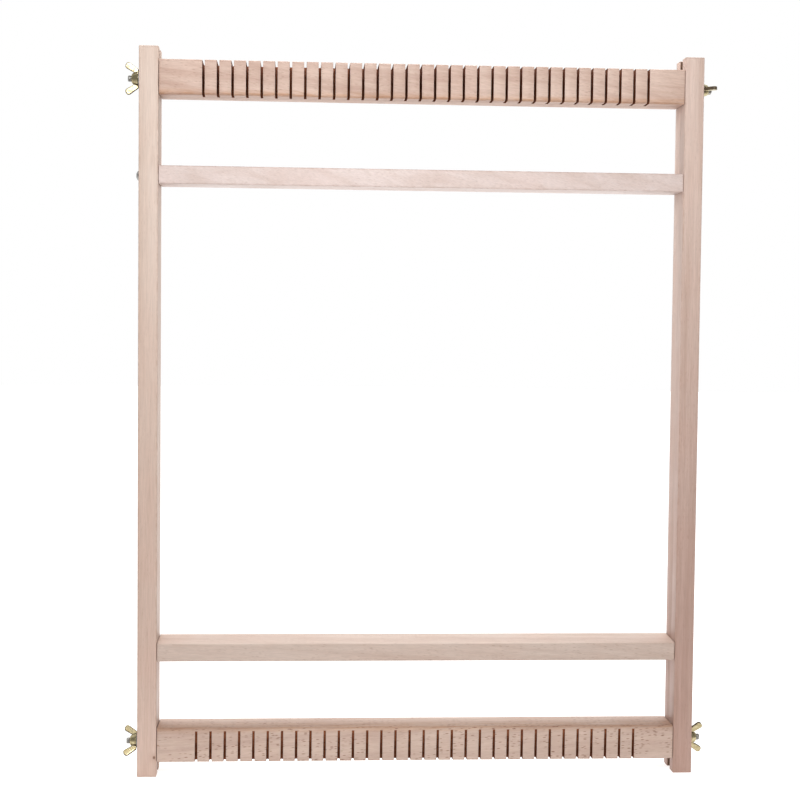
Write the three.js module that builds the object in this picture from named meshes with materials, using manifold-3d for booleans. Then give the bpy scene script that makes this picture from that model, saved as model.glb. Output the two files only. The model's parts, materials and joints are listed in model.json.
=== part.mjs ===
// Tapestry frame loom: two side rails, two notched bars that slide in the slots of the rails and
// are clamped by wing nuts, and two plain crossbars screwed between the rails.
// Millimetres. +X right, +Y back, +Z up. The rail feet stand on Z = 0 and the front faces -Y.

import * as THREE from 'three';
import * as BufferGeometryUtils from 'three/addons/utils/BufferGeometryUtils.js';
import Module from 'manifold-3d';

const wasm = await Module();
wasm.setup();

// Frame
const FRAME_WIDTH = 500;
const FRAME_HEIGHT = 645;
const FRAME_DEPTH = 35;
const RAIL_THICKNESS = 17;
const RAIL_EASE = 0.6;
const BAR_EASE = 1;
const BAR_END_EASE = 0.4;
const EASE_STEPS = 2;
const END_GAP = 0.4;
const FIT_GAP = 0.3;

// Open-ended slots in the rail ends
const SLOT_WIDTH = 10;
const SLOT_DEPTH = 40;
const SLOT_END_STEPS = 10;

// Notched bars: the front edge on the side of the weaving is rounded more than the others
const BAR_HEIGHT = 30.5;
const BAR_EDGE_RADIUS = 2.5;
const BAR_EDGE_STEPS = 3;
const TOP_BAR_CENTRE = 618.5;
const BOTTOM_BAR_CENTRE = 28.5;
const KERF_COUNT = 32;
const KERF_PITCH = 12.7;
const KERF_WIDTH = 2.2;
// Each kerf's depth is at the bar's outer face. Outward is 1 where kerfs open upwards, -1 downwards.
const TOP_KERFS = { start: 56, depth: 32, floorSlope: 0.55, outward: 1 };
const BOTTOM_KERFS = { start: 52.2, depth: 8, floorSlope: 0.29, outward: -1 };
const KERF_CUTTER_REACH = 140;

// Plain crossbars
const CROSSBAR_HEIGHT = 16;
const UPPER_CROSSBAR_CENTRE = 533.5;
const LOWER_CROSSBAR_CENTRE = 112.5;
const LOWER_CROSSBAR_TILT = 0.07;

// M6 hanger studs
const STUD_RADIUS = 3;
const STUD_CHAMFER = 0.6;
const STUD_IN_BAR = 25;
const STUD_PAST_RAIL = 11;

// Washers
const WASHER_RADIUS = 7;
const WASHER_THICKNESS = 1.2;
const WASHER_EASE = 0.3;

// Wing nuts: profile sizes are measured from the nut's base and from its axis
const HUB_BASE_RADIUS = 6.3;
const HUB_TOP_RADIUS = 4.7;
const HUB_HEIGHT = 6;
const HUB_CHAMFER = 0.9;
const WING_THICKNESS = 3.2;
const WING_EASE = 0.7;
const WING_ROOT_RADIUS = 8.2;
const WING_TIP_OUTER = [9.3, 15.2];
const WING_TIP_INNER = [12.5, 10.2];
const WING_HUB_POINT = [4.2, 5.4];
const WING_CORNER = 1.8;
const WING_CORNER_STEPS = 4;

// Crossbar screws
const SCREW_SHANK_RADIUS = 2.3;
const SCREW_HEAD_RADIUS = 4.7;
const SCREW_DOME_HEIGHT = 3.4;
const SCREW_CONE_HEIGHT = 2.7;
const SCREW_LENGTH = 45;
const SCREW_POINT = 5;
const DOME_STEPS = 6;

const ROUND_STEPS = 24;
const MERGE_DISTANCE = 1e-4;
const CUT_MARGIN = 1;

const BEECH = { color: 0xe3cbb8, roughness: 0.62, metalness: 0 };
const YELLOW_ZINC = { color: 0xc9bd8a, roughness: 0.35, metalness: 1 };
const GREY_ZINC = { color: 0x9a9c9b, roughness: 0.4, metalness: 1 };

const HALF_WIDTH = FRAME_WIDTH / 2;
const HALF_DEPTH = FRAME_DEPTH / 2;
const BAR_LENGTH = FRAME_WIDTH - 2 * (RAIL_THICKNESS + END_GAP);

// Turns a shape's (x, y, depth) into the frame's (y, z, x).
const SHAPE_TO_FRAME = new THREE.Matrix4().makeBasis(
  new THREE.Vector3(0, 1, 0),
  new THREE.Vector3(0, 0, 1),
  new THREE.Vector3(1, 0, 0),
);

function toSolid(geometry) {
  const bare = geometry.clone();
  bare.deleteAttribute('normal');
  bare.deleteAttribute('uv');
  const merged = BufferGeometryUtils.mergeVertices(bare, MERGE_DISTANCE);
  return new wasm.Manifold(new wasm.Mesh({
    numProp: 3,
    vertProperties: new Float32Array(merged.attributes.position.array),
    triVerts: new Uint32Array(merged.index.array),
  }));
}

function toGeometry(solid) {
  const mesh = solid.getMesh();
  const geometry = new THREE.BufferGeometry();
  geometry.setAttribute('position', new THREE.BufferAttribute(mesh.vertProperties, mesh.numProp));
  geometry.setIndex(new THREE.BufferAttribute(mesh.triVerts, 1));
  geometry.computeVertexNormals();
  return geometry;
}

// A shape drawn in (y, z), made solid along X about the middle, with eased outline edges.
function extrudeAlongX(shape, length, ease, steps) {
  const geometry = new THREE.ExtrudeGeometry(shape, {
    depth: length - 2 * ease,
    curveSegments: steps,
    bevelEnabled: ease > 0,
    bevelThickness: ease,
    bevelSize: ease,
    bevelOffset: -ease,
    bevelSegments: EASE_STEPS,
  });
  geometry.translate(0, 0, ease - length / 2);
  return geometry.applyMatrix4(SHAPE_TO_FRAME);
}

// A profile of [distance along X, radius] points turned about the X axis.
function latheAlongX(profile) {
  const points = profile.map(([along, radius]) => new THREE.Vector2(radius, along));
  const geometry = new THREE.LatheGeometry(points, ROUND_STEPS);
  return geometry.rotateZ(-Math.PI / 2);
}

function cylinderAlongX(radius, from, to) {
  const geometry = new THREE.CylinderGeometry(radius, radius, to - from, ROUND_STEPS);
  geometry.rotateZ(-Math.PI / 2);
  return geometry.translate((from + to) / 2, 0, 0);
}

// radii are those of the back top, front top, front bottom and back bottom corners.
function roundedRectangle(width, height, radii) {
  const quarter = Math.PI / 2;
  const signs = [[1, 1], [-1, 1], [-1, -1], [1, -1]];
  const shape = new THREE.Shape();
  signs.forEach(([across, up], corner) => {
    const radius = radii[corner];
    const x = across * (width / 2 - radius);
    const y = up * (height / 2 - radius);
    shape.absarc(x, y, radius, corner * quarter, (corner + 1) * quarter, false);
  });
  shape.closePath();
  return shape;
}

// The rail outline, with a round-ended slot open at each end.
function railOutline() {
  const half = SLOT_WIDTH / 2;
  const slotEnd = SLOT_DEPTH - half;
  const shape = new THREE.Shape();
  shape.moveTo(-HALF_DEPTH, 0);
  shape.lineTo(-half, 0);
  shape.absarc(0, slotEnd, half, Math.PI, 0, true);
  shape.lineTo(half, 0);
  shape.lineTo(HALF_DEPTH, 0);
  shape.lineTo(HALF_DEPTH, FRAME_HEIGHT);
  shape.lineTo(half, FRAME_HEIGHT);
  shape.absarc(0, FRAME_HEIGHT - slotEnd, half, 0, Math.PI, true);
  shape.lineTo(-half, FRAME_HEIGHT);
  shape.lineTo(-HALF_DEPTH, FRAME_HEIGHT);
  shape.closePath();
  return shape;
}

// side is -1 for the left rail and 1 for the right rail. The lower screw hole is countersunk.
function railGeometry(side) {
  const half = RAIL_THICKNESS / 2;
  let solid = toSolid(extrudeAlongX(railOutline(), RAIL_THICKNESS, RAIL_EASE, SLOT_END_STEPS));
  for (const centre of [UPPER_CROSSBAR_CENTRE, LOWER_CROSSBAR_CENTRE]) {
    const hole = cylinderAlongX(SCREW_SHANK_RADIUS + FIT_GAP, -half - CUT_MARGIN, half + CUT_MARGIN);
    solid = solid.subtract(toSolid(hole.translate(0, 0, centre)));
  }
  const narrow = SCREW_SHANK_RADIUS + FIT_GAP;
  const wide = SCREW_HEAD_RADIUS + FIT_GAP;
  const sink = latheAlongX([
    [half - SCREW_CONE_HEIGHT - FIT_GAP, 0],
    [half - SCREW_CONE_HEIGHT - FIT_GAP, narrow],
    [half - FIT_GAP, wide],
    [half + CUT_MARGIN, wide],
    [half + CUT_MARGIN, 0],
  ]);
  if (side < 0) {
    sink.rotateZ(Math.PI);
  }
  return toGeometry(solid.subtract(toSolid(sink.translate(0, 0, LOWER_CROSSBAR_CENTRE))));
}

function drillEnds(solid, radius, depth) {
  const end = BAR_LENGTH / 2;
  const right = cylinderAlongX(radius, end - depth, end + CUT_MARGIN);
  const left = cylinderAlongX(radius, -end - CUT_MARGIN, depth - end);
  return solid.subtract(toSolid(right)).subtract(toSolid(left));
}

function kerfCutter(centre, kerfs) {
  const cutter = new THREE.BoxGeometry(KERF_WIDTH, KERF_CUTTER_REACH, KERF_CUTTER_REACH);
  cutter.translate(0, -KERF_CUTTER_REACH / 2, 0);
  cutter.rotateX(-kerfs.outward * Math.atan(kerfs.floorSlope));
  return cutter.translate(centre, kerfs.depth - HALF_DEPTH, kerfs.outward * BAR_HEIGHT / 2);
}

function notchedBarGeometry(kerfs) {
  const frontTop = kerfs.outward > 0 ? BAR_EASE : BAR_EDGE_RADIUS;
  const frontBottom = kerfs.outward > 0 ? BAR_EDGE_RADIUS : BAR_EASE;
  const radii = [BAR_EASE, frontTop, frontBottom, BAR_EASE];
  const outline = roundedRectangle(FRAME_DEPTH, BAR_HEIGHT, radii);
  let solid = toSolid(extrudeAlongX(outline, BAR_LENGTH, BAR_END_EASE, BAR_EDGE_STEPS));
  for (let kerf = 0; kerf < KERF_COUNT; kerf += 1) {
    const centre = kerfs.start - HALF_WIDTH + kerf * KERF_PITCH;
    solid = solid.subtract(toSolid(kerfCutter(centre, kerfs)));
  }
  return toGeometry(drillEnds(solid, STUD_RADIUS + FIT_GAP, STUD_IN_BAR + FIT_GAP));
}

function crossbarGeometry() {
  const radii = [BAR_EASE, BAR_EASE, BAR_EASE, BAR_EASE];
  const outline = roundedRectangle(FRAME_DEPTH, CROSSBAR_HEIGHT, radii);
  const solid = toSolid(extrudeAlongX(outline, BAR_LENGTH, BAR_END_EASE, EASE_STEPS));
  const screwInBar = SCREW_LENGTH - RAIL_THICKNESS - END_GAP + FIT_GAP;
  return toGeometry(drillEnds(solid, SCREW_SHANK_RADIUS + FIT_GAP, screwInBar));
}

// Along X from the rail's outer face, which is at 0.
function studGeometry() {
  const inner = -RAIL_THICKNESS - END_GAP - STUD_IN_BAR;
  const outer = STUD_PAST_RAIL;
  return latheAlongX([
    [inner, 0],
    [inner, STUD_RADIUS - STUD_CHAMFER],
    [inner + STUD_CHAMFER, STUD_RADIUS],
    [outer - STUD_CHAMFER, STUD_RADIUS],
    [outer, STUD_RADIUS - STUD_CHAMFER],
    [outer, 0],
  ]);
}

function washerGeometry() {
  const inner = STUD_RADIUS + FIT_GAP;
  return latheAlongX([
    [0, inner],
    [0, WASHER_RADIUS - WASHER_EASE],
    [WASHER_EASE, WASHER_RADIUS],
    [WASHER_THICKNESS - WASHER_EASE, WASHER_RADIUS],
    [WASHER_THICKNESS, WASHER_RADIUS - WASHER_EASE],
    [WASHER_THICKNESS, inner],
    [0, inner],
  ]);
}

// One wing's outline in (radius, distance from the base), with round corners at its tip.
function wingOutline() {
  const root = new THREE.Vector2(WING_ROOT_RADIUS, 0);
  const outer = new THREE.Vector2(WING_TIP_OUTER[1], WING_TIP_OUTER[0]);
  const inner = new THREE.Vector2(WING_TIP_INNER[1], WING_TIP_INNER[0]);
  const hub = new THREE.Vector2(WING_HUB_POINT[1], WING_HUB_POINT[0]);
  const towards = (from, to) => to.clone().sub(from).setLength(WING_CORNER).add(from);
  const shape = new THREE.Shape();
  shape.moveTo(STUD_RADIUS, 0);
  shape.lineTo(root.x, root.y);
  shape.lineTo(towards(outer, root).x, towards(outer, root).y);
  shape.quadraticCurveTo(outer.x, outer.y, towards(outer, inner).x, towards(outer, inner).y);
  shape.lineTo(towards(inner, outer).x, towards(inner, outer).y);
  shape.quadraticCurveTo(inner.x, inner.y, towards(inner, hub).x, towards(inner, hub).y);
  shape.lineTo(hub.x, hub.y);
  shape.lineTo(STUD_RADIUS, WING_HUB_POINT[0]);
  shape.closePath();
  return shape;
}

// The wing lies in the plane of X and Z and reaches towards +Z.
function wingGeometry() {
  const geometry = new THREE.ExtrudeGeometry(wingOutline(), {
    depth: WING_THICKNESS - 2 * WING_EASE,
    curveSegments: WING_CORNER_STEPS,
    bevelThickness: WING_EASE,
    bevelSize: WING_EASE,
    bevelOffset: -WING_EASE,
    bevelSegments: EASE_STEPS,
  });
  geometry.translate(0, 0, WING_EASE - WING_THICKNESS / 2);
  return geometry.applyMatrix4(new THREE.Matrix4().makeBasis(
    new THREE.Vector3(0, 0, 1),
    new THREE.Vector3(1, 0, 0),
    new THREE.Vector3(0, 1, 0),
  ));
}

function wingNutGeometry() {
  const hub = latheAlongX([
    [0, 0],
    [0, HUB_BASE_RADIUS],
    [HUB_HEIGHT - HUB_CHAMFER, HUB_TOP_RADIUS],
    [HUB_HEIGHT, HUB_TOP_RADIUS - HUB_CHAMFER],
    [HUB_HEIGHT, 0],
  ]);
  const upperWing = wingGeometry();
  const lowerWing = wingGeometry().rotateX(Math.PI);
  const bore = cylinderAlongX(STUD_RADIUS + FIT_GAP, -CUT_MARGIN, HUB_HEIGHT + CUT_MARGIN);
  const solid = toSolid(hub).add(toSolid(upperWing)).add(toSolid(lowerWing));
  return toGeometry(solid.subtract(toSolid(bore)));
}

function shankProfile(top) {
  return [
    [top - SCREW_LENGTH, 0],
    [top - SCREW_LENGTH + SCREW_POINT, SCREW_SHANK_RADIUS],
  ];
}

// Round head, standing on the rail's outer face at 0.
function roundHeadScrewGeometry() {
  const profile = shankProfile(FIT_GAP);
  profile.push([FIT_GAP, SCREW_SHANK_RADIUS]);
  for (let step = 0; step <= DOME_STEPS; step += 1) {
    const angle = (step / DOME_STEPS) * Math.PI / 2;
    const radius = step < DOME_STEPS ? SCREW_HEAD_RADIUS * Math.cos(angle) : 0;
    profile.push([FIT_GAP + SCREW_DOME_HEIGHT * Math.sin(angle), radius]);
  }
  return latheAlongX(profile);
}

// Countersunk head, just below the rail's outer face at 0.
function flatHeadScrewGeometry() {
  const profile = shankProfile(-FIT_GAP);
  profile.push([-FIT_GAP - SCREW_CONE_HEIGHT, SCREW_SHANK_RADIUS]);
  profile.push([-FIT_GAP, SCREW_HEAD_RADIUS]);
  profile.push([-FIT_GAP, 0]);
  return latheAlongX(profile);
}

function addPiece(parent, name, geometry, finish) {
  const piece = new THREE.Mesh(geometry, new THREE.MeshStandardMaterial(finish));
  piece.name = name;
  parent.add(piece);
  return piece;
}

function addRail(parent, name, side) {
  const rail = addPiece(parent, name, railGeometry(side), BEECH);
  rail.position.x = side * (HALF_WIDTH - RAIL_THICKNESS / 2);
}

function addCrossbar(parent, name, centre, tilt) {
  const crossbar = addPiece(parent, name, crossbarGeometry(), BEECH);
  crossbar.position.z = centre;
  crossbar.rotation.x = tilt;
}

// A stud, washer and wing nut at one corner, pointing out of the rail on the given side.
function addClamp(parent, corner, side, height, wingAngle) {
  const clamp = new THREE.Group();
  clamp.position.set(side * HALF_WIDTH, 0, height);
  clamp.rotation.z = side > 0 ? 0 : Math.PI;
  addPiece(clamp, `${corner}_stud`, studGeometry(), GREY_ZINC);
  const washer = addPiece(clamp, `${corner}_washer`, washerGeometry(), GREY_ZINC);
  washer.position.x = FIT_GAP;
  const nut = addPiece(clamp, `${corner}_wing_nut`, wingNutGeometry(), YELLOW_ZINC);
  nut.position.x = 2 * FIT_GAP + WASHER_THICKNESS;
  nut.rotation.x = wingAngle;
  parent.add(clamp);
}

function addScrew(parent, name, side, height, geometry) {
  const screw = addPiece(parent, name, geometry, GREY_ZINC);
  screw.position.set(side * HALF_WIDTH, 0, height);
  screw.rotation.z = side > 0 ? 0 : Math.PI;
}

const loom = new THREE.Group();

addRail(loom, 'left_rail', -1);
addRail(loom, 'right_rail', 1);

const topBar = addPiece(loom, 'top_notched_bar', notchedBarGeometry(TOP_KERFS), BEECH);
topBar.position.z = TOP_BAR_CENTRE;
const bottomBar = addPiece(loom, 'bottom_notched_bar', notchedBarGeometry(BOTTOM_KERFS), BEECH);
bottomBar.position.z = BOTTOM_BAR_CENTRE;

addCrossbar(loom, 'upper_crossbar', UPPER_CROSSBAR_CENTRE, 0);
addCrossbar(loom, 'lower_crossbar', LOWER_CROSSBAR_CENTRE, LOWER_CROSSBAR_TILT);

addClamp(loom, 'top_left', -1, TOP_BAR_CENTRE, 0);
addClamp(loom, 'top_right', 1, TOP_BAR_CENTRE, THREE.MathUtils.degToRad(88));
addClamp(loom, 'bottom_left', -1, BOTTOM_BAR_CENTRE, THREE.MathUtils.degToRad(35));
addClamp(loom, 'bottom_right', 1, BOTTOM_BAR_CENTRE, THREE.MathUtils.degToRad(8));

addScrew(loom, 'upper_left_crossbar_screw', -1, UPPER_CROSSBAR_CENTRE, roundHeadScrewGeometry());
addScrew(loom, 'upper_right_crossbar_screw', 1, UPPER_CROSSBAR_CENTRE, roundHeadScrewGeometry());
addScrew(loom, 'lower_left_crossbar_screw', -1, LOWER_CROSSBAR_CENTRE, flatHeadScrewGeometry());
addScrew(loom, 'lower_right_crossbar_screw', 1, LOWER_CROSSBAR_CENTRE, flatHeadScrewGeometry());

export default loom;
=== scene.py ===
import json
import math

import bmesh
import bpy
from mathutils import Matrix, Vector


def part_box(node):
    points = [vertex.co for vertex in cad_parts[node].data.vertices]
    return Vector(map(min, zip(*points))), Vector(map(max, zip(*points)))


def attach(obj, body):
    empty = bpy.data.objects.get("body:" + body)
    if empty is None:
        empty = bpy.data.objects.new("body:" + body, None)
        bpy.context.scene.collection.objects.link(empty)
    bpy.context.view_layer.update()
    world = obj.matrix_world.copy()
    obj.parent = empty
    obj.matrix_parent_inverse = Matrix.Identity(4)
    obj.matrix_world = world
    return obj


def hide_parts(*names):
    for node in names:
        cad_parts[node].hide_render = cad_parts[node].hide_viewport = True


# Looks of the tapestry frame loom, in metres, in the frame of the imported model:
# +X right, +Y back, +Z up, with the rail feet on Z = 0.
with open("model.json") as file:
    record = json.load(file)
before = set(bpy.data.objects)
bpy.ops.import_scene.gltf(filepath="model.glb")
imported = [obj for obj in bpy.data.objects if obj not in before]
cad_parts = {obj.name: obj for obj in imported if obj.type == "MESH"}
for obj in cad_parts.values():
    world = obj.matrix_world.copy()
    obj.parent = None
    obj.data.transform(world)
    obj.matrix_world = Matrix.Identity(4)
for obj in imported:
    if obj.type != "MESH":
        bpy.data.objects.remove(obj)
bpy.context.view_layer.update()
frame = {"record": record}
record = frame["record"]
BODY_OF = {node: body for body, nodes in record["behaviour"]["bodies"].items() for node in nodes}

MM = 0.001
UP = Vector((0, 0, 1))

# Rails
RAIL_EASE = 0.6 * MM
SLOT_WIDTH = 10 * MM
SLOT_DEPTH = 40 * MM
SLOT_ARC_STEPS = 20
SLOT_MARGIN = 0.01 * MM

# Notched bars
BAR_EASE = 1 * MM
BAR_EDGE_RADIUS = 2.5 * MM
BAR_ARC_STEPS = 7
BAR_END_EASE = 0.6 * MM
KERF_COUNT = 32
KERF_PITCH = 12.7 * MM
KERF_WIDTH = 2.2 * MM
KERF_REACH = 140 * MM
KERF_EDGE_EASE = 0.16 * MM
TOP_KERF = {"start": 56 * MM, "depth": 32 * MM, "slope": 0.55, "outward": 1}
BOTTOM_KERF = {"start": 52.2 * MM, "depth": 8 * MM, "slope": 0.29, "outward": -1}

# Crossbars
CROSSBAR_HEIGHT = 16 * MM
CROSSBAR_EASE = 1 * MM
CROSSBAR_END_EASE = 0.4 * MM
LOWER_CROSSBAR_TILT = 0.07

# Threads and hardware
STUD_RADIUS = 3 * MM
THREAD_PITCH = 1 * MM
THREAD_DEPTH = 0.55 * MM
THREAD_SIDES = 32
THREAD_STEPS = 8
FIT_GAP = 0.3 * MM
NUT_TURNS = {
    "top_left": 0,
    "top_right": 88,
    "bottom_left": 35,
    "bottom_right": 8,
}

# Crossbar screws
SCREW_SHANK = 2.3 * MM
SCREW_HEAD = 4.7 * MM
SCREW_CONE = 2.7 * MM
SCREW_DOME = 3.4 * MM
RECESS_HALF_LENGTH = 2.6 * MM
RECESS_HALF_WIDTH = 0.55 * MM
RECESS_DEPTH = 2.2 * MM

# Wing nuts, measured from the base and the axis. Faces past the rim normal are the wings' edges, painted
# dark as a reflection, and faces at the base are painted dark as contact shade.
HUB_BASE = 6.3 * MM
HUB_TOP = 4.7 * MM
HUB_HEIGHT = 6 * MM
WING_OUTLINE = [(2.0, 0), (8.2, 0), (15.2, 9.3), (10.2, 12.5), (5.4, 4.2), (2.0, 4.2)]
WING_CORNERS = [0, 0.4 * MM, 2.3 * MM, 2.3 * MM, 1.2 * MM, 0]
WING_THICKNESS = 3.2 * MM
WING_EASE = 0.75 * MM
WING_VOXEL = 0.28 * MM
RIM_NORMAL = 0.86
RIM_BASE = 0.35 * MM

# Woods: where each piece was cut from the pattern, its two tones, and how strongly it is marked; on the
# rails, painted shade that darkens them towards the foot
WOODS = {
    "left_rail": {
        "grain": "Z",
        "seed": (0.3, 0.7, 0.1),
        "pale": (0.624, 0.50, 0.425, 1),
        "dark": (0.52, 0.387, 0.312, 1),
        "fleck": 0.12,
        "figure": 0.5,
        "painted_foot_shade": ((0.90, 0.83, 0.82, 1), (1, 1, 1, 1)),
    },
    "right_rail": {
        "grain": "Z",
        "seed": (1.9, 0.2, 0.6),
        "pale": (0.627, 0.487, 0.422, 1),
        "dark": (0.51, 0.37, 0.305, 1),
        "fleck": 0.15,
        "figure": 0.95,
        "painted_foot_shade": ((0.72, 0.62, 0.60, 1), (1, 1, 1, 1)),
    },
    "top_notched_bar": {
        "grain": "X",
        "seed": (0.8, 1.3, 2.1),
        "pale": (0.60, 0.445, 0.37, 1),
        "dark": (0.47, 0.315, 0.25, 1),
        "fleck": 0.30,
        "figure": 0.95,
        "lean": 0.10,
    },
    "bottom_notched_bar": {
        "grain": "X",
        "seed": (2.8, 0.4, 1.1),
        "pale": (0.525, 0.396, 0.33, 1),
        "dark": (0.415, 0.293, 0.238, 1),
        "fleck": 0.95,
        "figure": 0.7,
        "lean": -0.06,
    },
    "upper_crossbar": {
        "grain": "X",
        "seed": (1.2, 2.4, 0.5),
        "pale": (0.69, 0.577, 0.54, 1),
        "dark": (0.59, 0.465, 0.415, 1),
        "fleck": 0.2,
        "figure": 0.8,
        "lean": 0.22,
    },
    "lower_crossbar": {
        "grain": "X",
        "seed": (0.1, 1.7, 2.9),
        "pale": (0.557, 0.447, 0.385, 1),
        "dark": (0.465, 0.345, 0.285, 1),
        "fleck": 0.3,
        "figure": 0.7,
        "lean": 0.06,
    },
}
NO_PAINTED_FOOT_SHADE = ((1, 1, 1, 1), (1, 1, 1, 1))
BLUSH = 0.5
KNOT_INSET = 1.9 * MM
KNOT_HEIGHT = 17.5 * MM

# Platings: bright and dull tones, roughness, and the tone of dirt
WASHER_ZINC = ((0.60, 0.60, 0.57, 1), (0.46, 0.45, 0.42, 1), 0.30)
YELLOW_ZINC = ((0.52, 0.45, 0.28, 1), (0.37, 0.30, 0.16, 1), 0.22, (0.12, 0.09, 0.03, 1))
# Dark rim of the wing nuts: painted dark reflection on the wing edges and painted contact shade at the
# base.
PAINTED_RIM_DARK = ((0.12, 0.085, 0.045, 1), (0.07, 0.05, 0.03, 1), 0.42, (0.03, 0.02, 0.01, 1))
SCREW_STEEL = ((0.42, 0.41, 0.40, 1), (0.27, 0.26, 0.25, 1), 0.34)
THREAD_ZINC = ((0.60, 0.60, 0.58, 1), (0.44, 0.43, 0.41, 1), 0.26)

# Saw-cut and slot walls: bright tone, dull tone and saw marks, all dark brown as painted shade of the deep
# cuts
KERF_SHADE_WALL = ((0.22, 0.075, 0.035, 1), (0.15, 0.045, 0.02, 1), (0.06, 0.02, 0.01, 1))
SLOT_SHADE_WALL = ((0.22, 0.14, 0.10, 1), (0.15, 0.09, 0.06, 1), (0.07, 0.04, 0.03, 1))

# Camera: place, turn in degrees, lens in millimetres
CAMERA_PLACE = (-0.11057, -1.40774, 0.40222)
CAMERA_TURN = (87.34, -0.599, -3.74)
CAMERA_LENS = 70.617

# Stage and lights
FLOOR_GLOW = 0.75
FLOOR_GLOW_DEPTHS = (-0.16, -0.07)
FLOOR_FRONT_EDGE = -0.08
FLOOR_FRONT_HEIGHT = 0.1 * MM
BACKDROP_GLOW = 1.0
ROOM_TONE = 0.30
KEY_PLACE = (-0.10, -1.2, 0.98)
KEY_AIM = (-0.05, 0, 0.4)
KEY_SIZE = 0.7
KEY_POWER = 14.6
TOP_PLACE = (0, 0.35, 1.9)
TOP_SIZE = 0.9
TOP_POWER = 21
BACKDROP_RADIUS = 9


# ---------------------------------------------------------------- meshes

def link(name, mesh):
    piece = bpy.data.objects.new(name, mesh)
    bpy.context.scene.collection.objects.link(piece)
    return piece


def mesh_from(name, points, faces):
    mesh = bpy.data.meshes.new(name)
    mesh.from_pydata([tuple(point) for point in points], [], faces)
    mesh.validate()
    return mesh


def set_inputs(modifier, tree, values):
    """Sets a Geometry Nodes modifier's inputs by the identifiers of its sockets."""
    for item in tree.interface.items_tree:
        if item.item_type == "SOCKET" and item.in_out == "INPUT" and item.name in values:
            modifier[item.identifier] = values[item.name]


def bake_modifiers(piece):
    """Turns a piece's modifiers into its mesh and removes them."""
    bpy.context.view_layer.update()
    graph = bpy.context.evaluated_depsgraph_get()
    mesh = bpy.data.meshes.new_from_object(piece.evaluated_get(graph))
    piece.modifiers.clear()
    piece.data = mesh
    return piece


def bevel(piece, width, steps, angle=35):
    tool = piece.modifiers.new("bevel", "BEVEL")
    tool.width = width
    tool.segments = steps
    tool.limit_method = "ANGLE"
    tool.angle_limit = math.radians(angle)
    tool.harden_normals = False
    return bake_modifiers(piece)


def cut(piece, cutter):
    """Cuts the cutter's shape out of the piece and throws the cutter away."""
    tool = piece.modifiers.new("cut", "BOOLEAN")
    tool.operation = "DIFFERENCE"
    tool.solver = "EXACT"
    tool.object = cutter
    bake_modifiers(piece)
    bpy.data.objects.remove(cutter)
    return piece


def shade(piece, angle=35):
    """Smooth shading, with edges kept sharp past the angle."""
    mesh = piece.data
    mesh.polygons.foreach_set("use_smooth", [True] * len(mesh.polygons))
    mesh.set_sharp_from_angle(angle=math.radians(angle))
    return piece


def arc(centre, radius, start, end, steps):
    """Points on an arc in a plane, both ends included, angles in degrees."""
    angles = [math.radians(start + (end - start) * step / steps) for step in range(steps + 1)]
    return [(centre[0] + radius * math.cos(a), centre[1] + radius * math.sin(a)) for a in angles]


def prism_along_x(name, outline, low, high):
    """A solid whose (y, z) outline, drawn anticlockwise from +X, runs from x low to x high."""
    count = len(outline)
    points = [(low, y, z) for y, z in outline] + [(high, y, z) for y, z in outline]
    faces = [tuple(reversed(range(count))), tuple(range(count, 2 * count))]
    for index in range(count):
        after = (index + 1) % count
        faces.append((index, after, count + after, count + index))
    return link(name, mesh_from(name, points, faces))


def lathe_along_x(name, profile, steps, closed=False):
    """A solid of revolution about X from (x, radius) points. Open profiles start and end at radius 0."""
    rings = []
    points = []
    for along, radius in profile:
        if radius < 1e-9:
            rings.append([len(points)])
            points.append((along, 0, 0))
            continue
        rings.append(list(range(len(points), len(points) + steps)))
        for step in range(steps):
            angle = 2 * math.pi * step / steps
            points.append((along, radius * math.cos(angle), radius * math.sin(angle)))
    faces = []
    pairs = list(zip(rings, rings[1:]))
    if closed:
        pairs.append((rings[-1], rings[0]))
    for near, far in pairs:
        for step in range(steps):
            after = (step + 1) % steps
            if len(near) == 1:
                faces.append((near[0], far[after], far[step]))
            elif len(far) == 1:
                faces.append((near[step], near[after], far[0]))
            else:
                faces.append((near[step], near[after], far[after], far[step]))
    mesh = mesh_from(name, points, faces)
    work = bmesh.new()
    work.from_mesh(mesh)
    bmesh.ops.recalc_face_normals(work, faces=work.faces)
    work.to_mesh(mesh)
    work.free()
    return link(name, mesh)


def round_corners(points, radii, steps):
    """A closed outline with each corner rounded to its own radius."""
    outline = []
    count = len(points)
    for index, (corner, radius) in enumerate(zip(points, radii)):
        corner = Vector(corner)
        before = (Vector(points[index - 1]) - corner).normalized()
        after = (Vector(points[(index + 1) % count]) - corner).normalized()
        if radius <= 0:
            outline.append(tuple(corner))
            continue
        half = before.angle(after) / 2
        reach = radius / math.tan(half)
        start = corner + before * reach
        end = corner + after * reach
        centre = corner + (before + after).normalized() * (radius / math.sin(half))
        for step in range(steps + 1):
            share = step / steps
            spoke = (start - centre).lerp(end - centre, share).normalized()
            outline.append(tuple(centre + spoke * radius))
    return outline


# ---------------------------------------------------------------- node helpers

def add(tree, kind, inputs=None, **settings):
    """Adds a node. inputs gives constants or sockets by input name or number."""
    node = tree.nodes.new(kind)
    for key, value in settings.items():
        setattr(node, key, value)
    for key, value in (inputs or {}).items():
        if isinstance(value, bpy.types.NodeSocket):
            tree.links.new(value, node.inputs[key])
        else:
            node.inputs[key].default_value = value
    return node


def maths(tree, operation, *values, clamp=False):
    node = add(tree, "ShaderNodeMath", dict(enumerate(values)), operation=operation, use_clamp=clamp)
    return node.outputs[0]


def vector_maths(tree, operation, *values):
    node = add(tree, "ShaderNodeVectorMath", dict(enumerate(values)), operation=operation)
    return node.outputs["Value" if operation in ("LENGTH", "DISTANCE", "DOT_PRODUCT") else "Vector"]


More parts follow.
